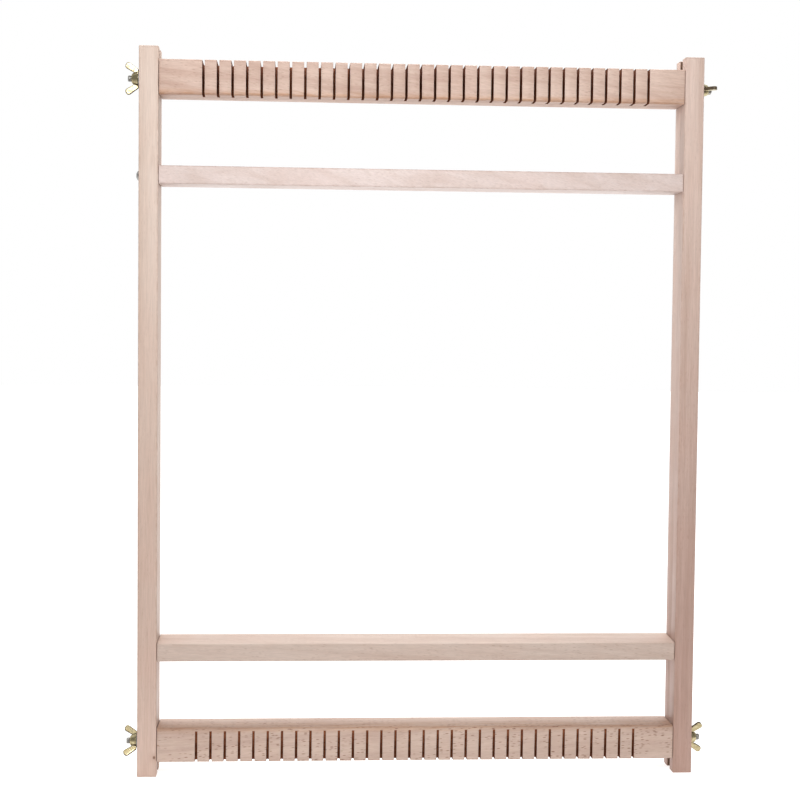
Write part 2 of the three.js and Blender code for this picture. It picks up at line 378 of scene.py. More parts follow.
def ramp(tree, value, low, high, to_low=0.0, to_high=1.0):
    """A smooth step of value from low to high."""
    inputs = {"Value": value, "From Min": low, "From Max": high, "To Min": to_low, "To Max": to_high}
    node = add(tree, "ShaderNodeMapRange", inputs, interpolation_type="SMOOTHSTEP")
    return node.outputs["Result"]


def mix(tree, factor, first, second, how="MIX"):
    inputs = {0: factor, 6: first, 7: second}
    node = add(tree, "ShaderNodeMix", inputs, data_type="RGBA", blend_type=how)
    return node.outputs[2]


def noise(tree, vector, scale, detail=2.0, roughness=0.5, distortion=0.0):
    inputs = {
        "Vector": vector,
        "Scale": scale,
        "Detail": detail,
        "Roughness": roughness,
        "Distortion": distortion,
    }
    return add(tree, "ShaderNodeTexNoise", inputs).outputs["Fac"]


def new_geometry_tree(name, sockets):
    """A Geometry Nodes tree with a geometry input and output and the named value inputs."""
    tree = bpy.data.node_groups.new(name, "GeometryNodeTree")
    tree.interface.new_socket("Geometry", in_out="INPUT", socket_type="NodeSocketGeometry")
    for socket, kind in sockets.items():
        tree.interface.new_socket(socket, in_out="INPUT", socket_type=f"NodeSocket{kind}")
    tree.interface.new_socket("Geometry", in_out="OUTPUT", socket_type="NodeSocketGeometry")
    return tree, tree.nodes.new("NodeGroupInput").outputs, tree.nodes.new("NodeGroupOutput").inputs


# ---------------------------------------------------------------- beech

def wood_coordinates(tree, grain, seed, lean):
    """Object coordinates with X along the grain, shifted within the pattern and sheared by the lean."""
    coordinates = add(tree, "ShaderNodeTexCoord")
    turn = (0, math.pi / 2, 0) if grain == "Z" else (0, 0, 0)
    inputs = {"Vector": coordinates.outputs["Object"], "Location": seed, "Rotation": turn}
    straight = add(tree, "ShaderNodeMapping", inputs).outputs["Vector"]
    along = add(tree, "ShaderNodeSeparateXYZ", {0: straight}).outputs[0]
    drifted = maths(tree, "MULTIPLY", along, lean)
    shear = add(tree, "ShaderNodeCombineXYZ", {1: drifted, 2: drifted})
    return coordinates, vector_maths(tree, "ADD", straight, shear.outputs[0])


def edge_nearness(tree, position, low, high, reach):
    """1 on the long edges of a box, fading to 0 at the reach, for rubbed and handled edges."""
    centre = (low + high) / 2
    half = (high - low) / 2
    offset = vector_maths(tree, "SUBTRACT", position, tuple(centre))
    inside = vector_maths(tree, "SUBTRACT", tuple(half), vector_maths(tree, "ABSOLUTE", offset))
    parts = add(tree, "ShaderNodeSeparateXYZ", {0: inside}).outputs
    least = maths(tree, "MINIMUM", maths(tree, "MINIMUM", parts[0], parts[1]), parts[2])
    most = maths(tree, "MAXIMUM", maths(tree, "MAXIMUM", parts[0], parts[1]), parts[2])
    total = maths(tree, "ADD", maths(tree, "ADD", parts[0], parts[1]), parts[2])
    middle = maths(tree, "SUBTRACT", maths(tree, "SUBTRACT", total, least), most)
    return ramp(tree, middle, 0.0, reach, 1.0, 0.0)


def beech(node, knot=None, warm_edge=None):
    """Sanded, unvarnished beech: growth streaks, fine fibres, ray flecks, mottling and end grain."""
    cut_from = WOODS[node]
    grain = cut_from["grain"]
    pale, dark = cut_from["pale"], cut_from["dark"]
    figure = cut_from["figure"]
    material = bpy.data.materials.new(node.replace("notched_", "") + "_beech")
    material.use_nodes = True
    tree = material.node_tree
    tree.nodes.clear()
    output = tree.nodes.new("ShaderNodeOutputMaterial")
    low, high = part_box(node)
    coordinates, wood = wood_coordinates(tree, grain, cut_from["seed"], cut_from.get("lean", 0.0))
    position = coordinates.outputs["Object"]

    streaks = noise(tree, vector_maths(tree, "MULTIPLY", wood, (3.0, 95, 95)), 1.0, 4.0, 0.6, 0.4)
    fibres = noise(tree, vector_maths(tree, "MULTIPLY", wood, (55, 1500, 1500)), 1.0, 3.0, 0.65)
    lines = noise(tree, vector_maths(tree, "MULTIPLY", wood, (7, 520, 520)), 1.0, 2.0, 0.5, 0.3)
    mottle = noise(tree, wood, 22.0, 3.0, 0.55)

    cells = vector_maths(tree, "MULTIPLY", wood, (170, 850, 850))
    flecks = add(tree, "ShaderNodeTexVoronoi", {"Vector": cells, "Scale": 1.0, "Randomness": 1.0})
    shape = ramp(tree, flecks.outputs["Distance"], 0.16, 0.36, 1.0, 0.0)
    lottery = add(tree, "ShaderNodeSeparateColor", {0: flecks.outputs["Color"]}).outputs[0]
    chosen = maths(tree, "GREATER_THAN", lottery, 0.42)
    patches = ramp(tree, noise(tree, wood, 45.0, 2.0), 0.34, 0.54)
    fleck_mask = maths(tree, "MULTIPLY", maths(tree, "MULTIPLY", shape, chosen), patches)

    colour = mix(tree, ramp(tree, streaks, 0.35, 0.72, 0.0, figure), pale, dark)
    pinker = mix(tree, 1.0, colour, (1.0, 0.955, 0.94, 1), "MULTIPLY")
    colour = mix(tree, ramp(tree, mottle, 0.40, 0.66, 0.0, BLUSH), colour, pinker)
    colour = mix(tree, ramp(tree, lines, 0.48, 0.70, 0.0, 0.30 * figure + 0.06), colour, dark)
    shade_of_fibre = ramp(tree, fibres, 0.30, 0.75, 1.04, 0.90)
    grey = add(tree, "ShaderNodeCombineColor", {0: shade_of_fibre, 1: shade_of_fibre, 2: shade_of_fibre})
    colour = mix(tree, 1.0, colour, grey.outputs[0], "MULTIPLY")
    browner = mix(tree, 1.0, dark, (0.66, 0.54, 0.47, 1), "MULTIPLY")
    fleck_tone = mix(tree, 1.0, dark, (0.50, 0.37, 0.30, 1), "MULTIPLY")
    colour = mix(tree, maths(tree, "MULTIPLY", fleck_mask, cut_from["fleck"]), colour, fleck_tone)

    # Painted shade: the rails darken towards the foot, where less light falls.
    along = add(tree, "ShaderNodeSeparateXYZ", {0: position}).outputs[2 if grain == "Z" else 0]
    ends = (low.z, high.z) if grain == "Z" else (low.x, high.x)
    painted_foot_shade_tone = mix(tree, ramp(tree, along, *ends), *cut_from.get("painted_foot_shade", NO_PAINTED_FOOT_SHADE))
    colour = mix(tree, 1.0, colour, painted_foot_shade_tone, "MULTIPLY")

    edge = edge_nearness(tree, position, low, high, 2.2 * MM)
    rub = maths(tree, "MULTIPLY", edge, ramp(tree, noise(tree, wood, 160.0, 3.0), 0.35, 0.70, 0.05, 0.40))
    colour = mix(tree, rub, colour, browner)

    if warm_edge:
        parts = add(tree, "ShaderNodeSeparateXYZ", {0: position}).outputs
        forward = ramp(tree, parts[1], warm_edge["front"], warm_edge["back"], 1.0, 0.0)
        depth = maths(tree, "ABSOLUTE", maths(tree, "SUBTRACT", parts[2], warm_edge["height"]))
        near = ramp(tree, depth, 0.0, warm_edge["reach"], 1.0, 0.0)
        wander = ramp(tree, lines, 0.30, 0.70, 0.35, 1.0)
        warm = maths(tree, "MULTIPLY", maths(tree, "MULTIPLY", forward, near), wander)
        tinted = mix(tree, 1.0, colour, (0.93, 0.74, 0.55, 1), "MULTIPLY")
        colour = mix(tree, maths(tree, "MULTIPLY", warm, warm_edge["strength"]), colour, tinted)

    if knot:
        away = vector_maths(tree, "SUBTRACT", position, knot)
        span = vector_maths(tree, "LENGTH", vector_maths(tree, "MULTIPLY", away, (1.0, 0.6, 0.75)))
        halo = maths(tree, "MULTIPLY", ramp(tree, span, 0.0, 6.0 * MM, 1.0, 0.0), 0.35)
        colour = mix(tree, halo, colour, browner)
        heart = ramp(tree, span, 0.6 * MM, 1.5 * MM, 1.0, 0.0)
        colour = mix(tree, maths(tree, "MULTIPLY", heart, 0.85), colour, (0.16, 0.07, 0.04, 1))

    normal = add(tree, "ShaderNodeSeparateXYZ", {0: coordinates.outputs["Normal"]}).outputs
    facing = maths(tree, "ABSOLUTE", normal[2] if grain == "Z" else normal[0])
    end_mask = ramp(tree, facing, 0.60, 0.90)
    across = vector_maths(tree, "MULTIPLY", wood, (0, 1, 1))
    rings = noise(tree, vector_maths(tree, "MULTIPLY", across, (0, 1200, 240)), 1.0, 2.0, 0.6)
    pores = noise(tree, across, 2600.0, 2.0, 0.6)
    end_dark = ramp(tree, maths(tree, "ADD", rings, pores), 0.75, 1.35, 0.15, 0.75)
    end_colour = mix(tree, end_dark, mix(tree, 0.45, pale, dark), browner)
    colour = mix(tree, end_mask, colour, end_colour)

    rough = ramp(tree, maths(tree, "ADD", fibres, mottle), 0.6, 1.4, 0.42, 0.60)
    relief = maths(tree, "ADD", maths(tree, "MULTIPLY", fibres, 0.6), maths(tree, "MULTIPLY", lines, 0.4))
    relief = maths(tree, "SUBTRACT", relief, maths(tree, "MULTIPLY", fleck_mask, 0.5))
    relief = maths(tree, "SUBTRACT", relief, maths(tree, "MULTIPLY", end_mask, pores))
    bump = add(tree, "ShaderNodeBump", {"Height": relief, "Strength": 0.55, "Distance": 0.12 * MM})
    inputs = {
        "Base Color": colour,
        "Roughness": rough,
        "Normal": bump.outputs["Normal"],
        "IOR": 1.46,
        "Specular IOR Level": 0.38,
    }
    surface = add(tree, "ShaderNodeBsdfPrincipled", inputs)
    tree.links.new(surface.outputs[0], output.inputs["Surface"])
    return material


def cut_wall_shade(name, bright, dull, mark):
    """The walls of a saw cut: painted dark-brown shade of the deep cut, with fine saw marks."""
    material = bpy.data.materials.new(name)
    material.use_nodes = True
    tree = material.node_tree
    tree.nodes.clear()
    output = tree.nodes.new("ShaderNodeOutputMaterial")
    position = add(tree, "ShaderNodeTexCoord").outputs["Object"]
    marks = noise(tree, vector_maths(tree, "MULTIPLY", position, (300, 1400, 160)), 1.0, 3.0, 0.6)
    patches = noise(tree, position, 220.0, 2.0)
    colour = mix(tree, ramp(tree, patches, 0.3, 0.7), bright, dull)
    colour = mix(tree, ramp(tree, marks, 0.35, 0.7, 0.0, 0.5), colour, mark)
    bump = add(tree, "ShaderNodeBump", {"Height": marks, "Strength": 0.5, "Distance": 0.15 * MM})
    inputs = {
        "Base Color": colour,
        "Roughness": ramp(tree, marks, 0.3, 0.7, 0.75, 0.9),
        "Normal": bump.outputs["Normal"],
        "Specular IOR Level": 0.1,
    }
    surface = add(tree, "ShaderNodeBsdfPrincipled", inputs)
    tree.links.new(surface.outputs[0], output.inputs["Surface"])
    return material


# ---------------------------------------------------------------- metals

def plated_steel(name, bright, dull, rough, dirt_and_root_shade=(0.10, 0.085, 0.07, 1), axis_height=None, metal=1.0):
    """Zinc plating with a cloudy tone and dirt specks. Where an axis height is given, the thread roots are
    darker with painted shade.
    """
    material = bpy.data.materials.new(name)
    material.use_nodes = True
    tree = material.node_tree
    tree.nodes.clear()
    output = tree.nodes.new("ShaderNodeOutputMaterial")
    position = add(tree, "ShaderNodeTexCoord").outputs["Object"]
    clouds = noise(tree, position, 380.0, 3.0, 0.6)
    grit = noise(tree, position, 2600.0, 3.0, 0.6)
    colour = mix(tree, ramp(tree, clouds, 0.32, 0.70), bright, dull)
    colour = mix(tree, ramp(tree, grit, 0.60, 0.80, 0.0, 0.35), colour, dirt_and_root_shade)
    if axis_height is not None:
        # Painted shade: darker in the thread roots, towards the axis.
        away = vector_maths(tree, "SUBTRACT", position, (0, 0, axis_height))
        radius = vector_maths(tree, "LENGTH", vector_maths(tree, "MULTIPLY", away, (0, 1, 1)))
        root = ramp(tree, radius, STUD_RADIUS - THREAD_DEPTH, STUD_RADIUS - 0.1 * MM, 0.75, 0.0)
        colour = mix(tree, root, colour, dirt_and_root_shade)
    bump = add(tree, "ShaderNodeBump", {"Height": grit, "Strength": 0.3, "Distance": 0.05 * MM})
    inputs = {
        "Base Color": colour,
        "Metallic": metal,
        "Roughness": ramp(tree, clouds, 0.3, 0.7, rough, rough + 0.16),
        "Normal": bump.outputs["Normal"],
    }
    surface = add(tree, "ShaderNodeBsdfPrincipled", inputs)
    tree.links.new(surface.outputs[0], output.inputs["Surface"])
    return material


# ---------------------------------------------------------------- pieces

def finish(piece, node):
    """The piece takes the place of its CAD node and moves with that node's body."""
    piece.name = f"{node}_piece"
    piece.data.name = piece.name
    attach(piece, BODY_OF[node])
    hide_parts(node)
    return piece


def paint(piece, material):
    piece.data.materials.clear()
    piece.data.materials.append(material)
    return piece


def rail(node, material, slot_shade_wall):
    low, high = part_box(node)
    half = SLOT_WIDTH / 2
    foot_end = low.z + SLOT_DEPTH - half
    head_end = high.z - SLOT_DEPTH + half
    outline = [(low.y, low.z), (-half, low.z)]
    outline += arc((0, foot_end), half, 180, 0, SLOT_ARC_STEPS)
    outline += [(half, low.z), (high.y, low.z), (high.y, high.z), (half, high.z)]
    outline += arc((0, head_end), half, 0, -180, SLOT_ARC_STEPS)
    outline += [(-half, high.z), (low.y, high.z)]
    piece = prism_along_x(node, outline, low.x, high.x)
    bevel(piece, RAIL_EASE, 3)
    outer = 1 if low.x > 0 else -1
    face = high.x if outer > 0 else low.x
    for bar, sunk in (("upper_crossbar", False), ("lower_crossbar", True)):
        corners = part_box(bar)
        height = (corners[0].z + corners[1].z) / 2
        narrow = SCREW_SHANK + FIT_GAP
        profile = [(-30 * MM, 0), (-30 * MM, narrow)]
        if sunk:
            profile += [(-SCREW_CONE - FIT_GAP, narrow), (-0.5 * FIT_GAP, SCREW_HEAD + FIT_GAP)]
            profile += [(5 * MM, SCREW_HEAD + FIT_GAP), (5 * MM, 0)]
        else:
            profile += [(5 * MM, narrow), (5 * MM, 0)]
        cutter = lathe_along_x("screw_hole", profile, 48)
        place = Matrix.Translation((face, 0, height))
        if outer < 0:
            place = place @ Matrix.Rotation(math.pi, 4, "Z")
        cutter.data.transform(place)
        cut(piece, cutter)
    paint(piece, material)
    # The slot walls take the dark slot material: painted shade inside the slots.
    piece.data.materials.append(slot_shade_wall)
    for polygon in piece.data.polygons:
        middle = polygon.center
        from_end = min(middle.z - low.z, high.z - middle.z)
        in_slot = abs(middle.y) < half + SLOT_MARGIN and from_end < SLOT_DEPTH + SLOT_MARGIN
        if in_slot and abs(polygon.normal.x) < 0.5:
            polygon.material_index = 1
    return finish(shade(piece), node)


def kerf_tree():
    """Cuts a row of slanted kerfs into the host bar and gives their walls the kerf wall material, a painted
    dark shade.
    """
    tree, given, result = new_geometry_tree("kerf_row", {
        "Count": "Int",
        "Pitch": "Float",
        "Width": "Float",
        "Reach": "Float",
        "Slant": "Float",
        "First": "Vector",
        "Wood": "Material",
        "Wall": "Material",
    })
    size = add(tree, "ShaderNodeCombineXYZ", {0: given["Width"], 1: given["Reach"], 2: given["Reach"]})
    block = add(tree, "GeometryNodeMeshCube", {"Size": size.outputs[0]})
    ahead = maths(tree, "MULTIPLY", given["Reach"], -0.5)
    shift = add(tree, "ShaderNodeCombineXYZ", {1: ahead})
    front = add(tree, "GeometryNodeTransform", {
        "Geometry": block.outputs["Mesh"],
        "Translation": shift.outputs[0],
    })
    turn = add(tree, "ShaderNodeCombineXYZ", {0: given["Slant"]})
    slanted = add(tree, "GeometryNodeTransform", {
        "Geometry": front.outputs[0],
        "Rotation": turn.outputs[0],
    })
    sawn = add(tree, "GeometryNodeSetMaterial", {"Geometry": slanted.outputs[0], "Material": given["Wall"]})
    step = add(tree, "ShaderNodeCombineXYZ", {0: given["Pitch"]})
    row = add(tree, "GeometryNodeMeshLine", {
        "Count": given["Count"],
        "Start Location": given["First"],
        "Offset": step.outputs[0],
    })
    copies = add(tree, "GeometryNodeInstanceOnPoints", {
        "Points": row.outputs[0],
        "Instance": sawn.outputs[0],
    })
    cutters = add(tree, "GeometryNodeRealizeInstances", {0: copies.outputs[0]})
    bar = add(tree, "GeometryNodeMeshBoolean", operation="DIFFERENCE", solver="EXACT")
    tree.links.new(given["Geometry"], bar.inputs["Mesh 1"])
    tree.links.new(cutters.outputs[0], bar.inputs["Mesh 2"])
    whole = add(tree, "GeometryNodeRealizeInstances", {0: bar.outputs[0]})
    is_wall = add(tree, "GeometryNodeMaterialSelection", {0: given["Wall"]})
    is_wood = add(tree, "FunctionNodeBooleanMath", {0: is_wall.outputs[0]}, operation="NOT")
    finished = add(tree, "GeometryNodeSetMaterial", {
        "Geometry": whole.outputs[0],
        "Selection": is_wood.outputs[0],
        "Material": given["Wood"],
    })
    tree.links.new(finished.outputs[0], result[0])
    return tree


def notched_bar(node, tree, kerf, wood, wall):
    low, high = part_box(node)
    corners = [(low.y, low.z), (high.y, low.z), (high.y, high.z), (low.y, high.z)]
    radii = [BAR_EASE] * 4
    radii[0 if kerf["outward"] > 0 else 3] = BAR_EDGE_RADIUS
    outline = round_corners(corners, radii, BAR_ARC_STEPS)
    piece = prism_along_x(node, outline, low.x, high.x)
    bevel(piece, BAR_END_EASE, 2)
    middle = (low.z + high.z) / 2
    end = high.x
    for side in (-1, 1):
        profile = [(-26 * MM, 0), (-26 * MM, STUD_RADIUS + FIT_GAP), (MM, STUD_RADIUS + FIT_GAP), (MM, 0)]
        cutter = lathe_along_x("stud_hole", profile, 48)
        place = Matrix.Translation((side * end, 0, middle))
        if side < 0:
            place = place @ Matrix.Rotation(math.pi, 4, "Z")
        cutter.data.transform(place)
        cut(piece, cutter)
    paint(piece, wood)
    tool = piece.modifiers.new("kerfs", "NODES")
    tool.node_group = tree
    outer = high.z if kerf["outward"] > 0 else low.z
    set_inputs(tool, tree, {
        "Count": KERF_COUNT,
        "Pitch": KERF_PITCH,
        "Width": KERF_WIDTH,
        "Reach": KERF_REACH,
        "Slant": -kerf["outward"] * math.atan(kerf["slope"]),
        "First": (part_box("left_rail")[0].x + kerf["start"], low.y + kerf["depth"], outer),
        "Wood": wood,
        "Wall": wall,
    })
    bake_modifiers(piece)
    bevel(piece, KERF_EDGE_EASE, 2)
    return finish(shade(piece), node)


def crossbar(node, material, tilt=0.0):
    low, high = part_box(node)
    centre = (low + high) / 2
    rail_low, rail_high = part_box("left_rail")
    half_depth = (rail_high.y - rail_low.y) / 2
    half_height = CROSSBAR_HEIGHT / 2
    corners = [
        (-half_depth, -half_height),
        (half_depth, -half_height),
        (half_depth, half_height),
        (-half_depth, half_height),
    ]
    outline = round_corners(corners, [CROSSBAR_EASE] * 4, 5)
    piece = prism_along_x(node, outline, low.x, high.x)
    bevel(piece, CROSSBAR_END_EASE, 2)
    piece.data.transform(Matrix.Translation(UP * centre.z) @ Matrix.Rotation(tilt, 4, "X"))
    return finish(shade(paint(piece, material)), node)


def thread_tree():
    """Turns the host's placeholder into a threaded rod along X with chamfered ends."""
    tree, given, result = new_geometry_tree("threaded_rod", {
        "Length": "Float",
        "Radius": "Float",
        "Pitch": "Float",
        "Thread depth": "Float",
        "Sides": "Int",
        "Rings": "Int",
        "Place": "Vector",
        "Plating": "Material",
    })
    blank = add(tree, "GeometryNodeMeshCylinder", {
        "Vertices": given["Sides"],
        "Side Segments": given["Rings"],
        "Fill Segments": 2,
        "Radius": given["Radius"],
        "Depth": given["Length"],
    })
    laid = add(tree, "GeometryNodeTransform", {
        "Geometry": blank.outputs["Mesh"],
        "Rotation": (0, math.pi / 2, 0),
    })
    position = add(tree, "GeometryNodeInputPosition").outputs[0]
    along, across, up = add(tree, "ShaderNodeSeparateXYZ", {0: position}).outputs
    angle = maths(tree, "DIVIDE", maths(tree, "ARCTAN2", up, across), 2 * math.pi)
    turns = maths(tree, "SUBTRACT", maths(tree, "DIVIDE", along, given["Pitch"]), angle)
    phase = maths(tree, "FRACT", turns)
    swing = maths(tree, "ABSOLUTE", maths(tree, "MULTIPLY_ADD", phase, 2.0, -1.0))
    crest = maths(tree, "SUBTRACT", 1.0, swing)
    crest = maths(tree, "MULTIPLY", crest, 1.25, clamp=True)
    dip = maths(tree, "MULTIPLY", maths(tree, "SUBTRACT", 1.0, crest), given["Thread depth"])
    wanted = maths(tree, "SUBTRACT", given["Radius"], dip)
    half_length = maths(tree, "MULTIPLY", given["Length"], 0.5)
    to_end = maths(tree, "SUBTRACT", half_length, maths(tree, "ABSOLUTE", along))
    root = maths(tree, "SUBTRACT", given["Radius"], maths(tree, "MULTIPLY", given["Thread depth"], 1.2))
    chamfer = maths(tree, "ADD", root, maths(tree, "MAXIMUM", to_end, 0.0))
    limit = maths(tree, "MINIMUM", wanted, chamfer)
    span = maths(tree, "SQRT", maths(tree, "ADD",
        maths(tree, "MULTIPLY", across, across),
        maths(tree, "MULTIPLY", up, up)))
    share = maths(tree, "DIVIDE", maths(tree, "MINIMUM", span, limit), maths(tree, "MAXIMUM", span, 1e-6))
    moved = add(tree, "ShaderNodeCombineXYZ", {
        0: along,
        1: maths(tree, "MULTIPLY", across, share),
        2: maths(tree, "MULTIPLY", up, share),
    })
    cut_thread = add(tree, "GeometryNodeSetPosition", {
        "Geometry": laid.outputs[0],
        "Position": moved.outputs[0],
    })
    placed = add(tree, "GeometryNodeTransform", {
        "Geometry": cut_thread.outputs[0],
        "Translation": given["Place"],
    })
    smooth = add(tree, "GeometryNodeSetShadeSmooth", {"Geometry": placed.outputs[0], "Shade Smooth": False})
    whole = add(tree, "GeometryNodeRealizeInstances", {0: smooth.outputs[0]})
    finished = add(tree, "GeometryNodeSetMaterial", {
        "Geometry": whole.outputs[0],
        "Material": given["Plating"],
    })
    tree.links.new(finished.outputs[0], result[0])
    return tree


def stud(node, tree, material):
    low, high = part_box(node)
    length = high.x - low.x
    piece = link(node, bpy.data.meshes.new(node))
    tool = piece.modifiers.new("thread", "NODES")
    tool.node_group = tree
    set_inputs(tool, tree, {
        "Length": length,
        "Radius": STUD_RADIUS,
        "Pitch": THREAD_PITCH,
        "Thread depth": THREAD_DEPTH,
        "Sides": THREAD_SIDES,
        "Rings": round(length / THREAD_PITCH * THREAD_STEPS),
        "Place": (low + high) / 2,
        "Plating": material,
    })
    bake_modifiers(piece)
    return finish(shade(piece, 60), node)


def outward_place(node):
    """Where a piece of hardware sits: its inner face on the stud's axis, X pointing out of the rail."""
    low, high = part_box(node)
    middle = (low.z + high.z) / 2
    if low.x > 0:
        return Matrix.Translation((low.x, 0, middle))
    return Matrix.Translation((high.x, 0, middle)) @ Matrix.Rotation(math.pi, 4, "Z")


def washer(node, material):
    low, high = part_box(node)
    radius = (high.z - low.z) / 2
    thick = high.x - low.x
    inner = STUD_RADIUS + FIT_GAP
    corners = [(0, inner), (0, radius), (thick, radius), (thick, inner)]
    profile = round_corners(corners, [0.12 * MM, 0.2 * MM, 0.42 * MM, 0.25 * MM], 4)
    piece = lathe_along_x(node, profile, 72, closed=True)
    piece.data.transform(outward_place(node))
    return finish(shade(paint(piece, material)), node)


def wing_nut(node, material, rim, turn):
    profile = [
        (0, 0),
        (0, HUB_BASE - 0.3 * MM),
        (0.3 * MM, HUB_BASE),
        (HUB_HEIGHT - 1.0 * MM, HUB_TOP),
        (HUB_HEIGHT - 0.3 * MM, HUB_TOP - 0.5 * MM),
        (HUB_HEIGHT, HUB_TOP - 1.1 * MM),
        (HUB_HEIGHT, 0),
    ]
    hub = lathe_along_x("hub", profile, 64)
    outline = [(radius * MM, along * MM) for radius, along in WING_OUTLINE]
    shape = round_corners(outline, WING_CORNERS, 6)
    parts = [hub]
    for side in (1, -1):
        wing = prism_along_x("wing", shape, -WING_THICKNESS / 2, WING_THICKNESS / 2)
        # (thickness, radius, along) to (along, thickness, radius)
        wing.data.transform(Matrix(((0, 0, 1, 0), (1, 0, 0, 0), (0, 1, 0, 0), (0, 0, 0, 1))))
        bevel(wing, WING_EASE, 3)
        if side < 0:
            wing.data.transform(Matrix.Rotation(math.pi, 4, "X"))
        parts.append(wing)
    piece = join(node, parts)
    remesh = piece.modifiers.new("cast", "REMESH")
    remesh.mode = "VOXEL"
    remesh.voxel_size = WING_VOXEL
    soften = piece.modifiers.new("soften", "SMOOTH")
    soften.factor = 0.5
    soften.iterations = 5
    bake_modifiers(piece)
    bore_radius = STUD_RADIUS + 0.12 * MM
    mouth = STUD_RADIUS + 0.75 * MM
    bore = lathe_along_x("bore", [
        (-MM, 0),
        (-MM, mouth + MM),
        (0.6 * MM, bore_radius),
        (HUB_HEIGHT - 0.7 * MM, bore_radius),
        (HUB_HEIGHT + MM, mouth + MM),
        (HUB_HEIGHT + MM, 0),
    ], 64)
    cut(piece, bore)
    paint(piece, material)
    piece.data.materials.append(rim)
    # The wing edges get the dark rim as a painted reflection; faces at the base get it as painted contact
    # shade.
    for polygon in piece.data.polygons:
        on_wing = abs(polygon.center.z) > HUB_TOP
        if on_wing and abs(polygon.normal.y) < RIM_NORMAL or polygon.center.x < RIM_BASE:
            polygon.material_index = 1
    piece.data.transform(outward_place(node) @ Matrix.Rotation(math.radians(turn), 4, "X"))
    return finish(shade(piece, 50), node)


def join(name, parts):
    """One mesh that holds all the parts' faces."""
    work = bmesh.new()
    for part in parts:
        work.from_mesh(part.data)
        bpy.data.objects.remove(part)
    mesh = bpy.data.meshes.new(name)
    work.to_mesh(mesh)
    work.free()
    return link(name, mesh)


def screw(node, material, round_head):
    low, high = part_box(node)
    outer = 1 if low.x > 0 else -1
    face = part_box("right_rail")[1].x if outer > 0 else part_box("left_rail")[0].x
    tip = -45 * MM
    profile = [(tip, 0), (tip + 5 * MM, SCREW_SHANK)]
    if round_head:
        profile += [(FIT_GAP, SCREW_SHANK), (FIT_GAP, SCREW_HEAD - 0.3 * MM)]
        profile.append((FIT_GAP + 0.3 * MM, SCREW_HEAD))
        for step in range(1, 13):
            angle = math.pi / 2 * step / 12
            radius = SCREW_HEAD * math.cos(angle) if step < 12 else 0
            profile.append((FIT_GAP + 0.3 * MM + (SCREW_DOME - 0.3 * MM) * math.sin(angle), radius))
        top = FIT_GAP + SCREW_DOME
    else:
        top = -FIT_GAP
        profile += [(top - SCREW_CONE, SCREW_SHANK), (top - 0.25 * MM, SCREW_HEAD)]
        profile += [(top, SCREW_HEAD - 0.2 * MM), (top, 0)]
    piece = lathe_along_x(node, profile, 64)
    recess = [(-RECESS_HALF_LENGTH, -RECESS_HALF_WIDTH), (RECESS_HALF_LENGTH, -RECESS_HALF_WIDTH)]
    recess += [(RECESS_HALF_LENGTH, RECESS_HALF_WIDTH), (-RECESS_HALF_LENGTH, RECESS_HALF_WIDTH)]
    for quarter in (0, 1):
        blade = prism_along_x("recess", recess, 0, 1)
        for corner in blade.data.vertices:
            deep = corner.co.x < 0.5
            corner.co.x = top - RECESS_DEPTH if deep else top + MM
            if deep:
                corner.co.y *= 0.35
                corner.co.z *= 0.7
        blade.data.transform(Matrix.Rotation(math.pi / 2 * quarter + 0.3, 4, "X"))
        cut(piece, blade)
    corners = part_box(node)
    middle = (corners[0].z + corners[1].z) / 2
    place = Matrix.Translation((face, 0, middle))
    if outer < 0:
        place = place @ Matrix.Rotation(math.pi, 4, "Z")
    piece.data.transform(place)
    return finish(shade(paint(piece, material)), node)


# ---------------------------------------------------------------- camera, stage and light

def camera():
    data = bpy.data.cameras.new("camera")
    data.lens = CAMERA_LENS
    data.sensor_width = 36
    data.clip_start = 0.05
    data.clip_end = 100
    viewer = bpy.data.objects.new("camera", data)
    viewer.location = CAMERA_PLACE
    viewer.rotation_euler = [math.radians(angle) for angle in CAMERA_TURN]
    bpy.context.scene.collection.objects.link(viewer)
    bpy.context.scene.camera = viewer


def floor_material(name, glow_start, glow_full):
    """Pale matt floor that glows softly beyond a given depth, as a lit white sweep does."""
    material = bpy.data.materials.new(name)
    material.use_nodes = True
    tree = material.node_tree
    surface = tree.nodes["Principled BSDF"]
    position = add(tree, "ShaderNodeTexCoord").outputs["Object"]
    depth = add(tree, "ShaderNodeSeparateXYZ", {0: position}).outputs[1]
    surface.inputs["Base Color"].default_value = (0.55, 0.55, 0.55, 1)
    surface.inputs["Roughness"].default_value = 0.9
    surface.inputs["Emission Color"].default_value = (1, 1, 1, 1)
    glow = ramp(tree, depth, glow_start, glow_full, 0.0, FLOOR_GLOW)
    tree.links.new(glow, surface.inputs["Emission Strength"])
    return material


def glow_material(name, strength):
    material = bpy.data.materials.new(name)
    material.use_nodes = True
    tree = material.node_tree
    tree.nodes.clear()
    output = tree.nodes.new("ShaderNodeOutputMaterial")
    glow = add(tree, "ShaderNodeEmission", {"Color": (1, 1, 1, 1), "Strength": strength})
    tree.links.new(glow.outputs[0], output.inputs["Surface"])
    return material


def half_dome(name, side):
    """Half of a big ball around the stage: the half with y on the given side."""
    work = bmesh.new()
    bmesh.ops.create_uvsphere(work, u_segments=48, v_segments=24, radius=BACKDROP_RADIUS)
    other = [face for face in work.faces if face.calc_center_median().y * side < 0]
    bmesh.ops.delete(work, geom=other, context="FACES")
    mesh = bpy.data.meshes.new(name)
    work.to_mesh(mesh)
    work.free()
    return link(name, mesh)


def floor_sheet(name, back_edge, height):
    """A level sheet over the whole stage, from its front up to the given back edge."""
    reach = BACKDROP_RADIUS
    corners = [(-reach, -reach, height), (reach, -reach, height)]
    corners += [(reach, back_edge, height), (-reach, back_edge, height)]
    return link(name, mesh_from(name, corners, [(0, 1, 2, 3)]))


